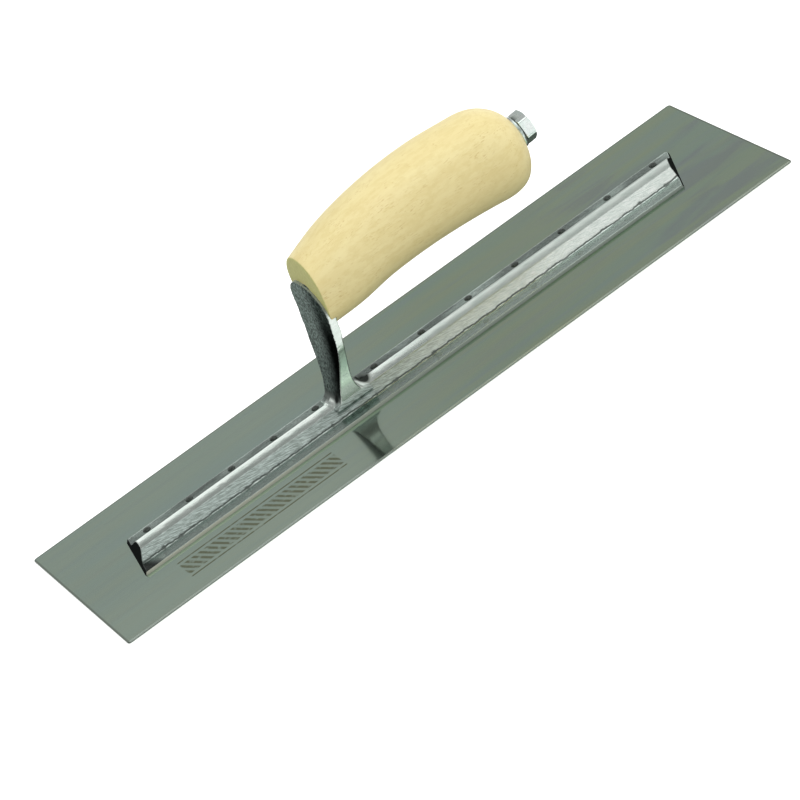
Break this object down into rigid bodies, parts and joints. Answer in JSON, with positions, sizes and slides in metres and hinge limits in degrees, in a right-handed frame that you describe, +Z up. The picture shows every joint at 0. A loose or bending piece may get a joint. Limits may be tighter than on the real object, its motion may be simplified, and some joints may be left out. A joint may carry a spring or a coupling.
{
  "type": "finishing trowel",
  "caption": "Concrete finishing trowel: long thin flat steel blade riveted to a ribbed cast mounting whose shank carries a curved hardwood grip.",
  "frame": {"origin": "centre of the blade's flat working (lower) face", "axes": "+X along the blade from the shank towards the handle's screw end, +Y across the blade, +Z up out of the working face towards the handle"},
  "size_m": [0.3556, 0.1016, 0.0868],
  "materials": {
    "blade_steel": "polished, fine lengthwise brushing",
    "cast_mounting": "as-cast with ground sides",
    "rivet_steel": "dull",
    "handle_wood": "clear satin lacquer",
    "screw_zinc": "bright zinc plate"
  },
  "bodies": {
    "root": {"blade": "blade_steel", "mounting": "cast_mounting", "rivets": "rivet_steel", "handle": "handle_wood", "washer": "screw_zinc", "handle_bolt": "screw_zinc"}
  },
  "joints": []
}
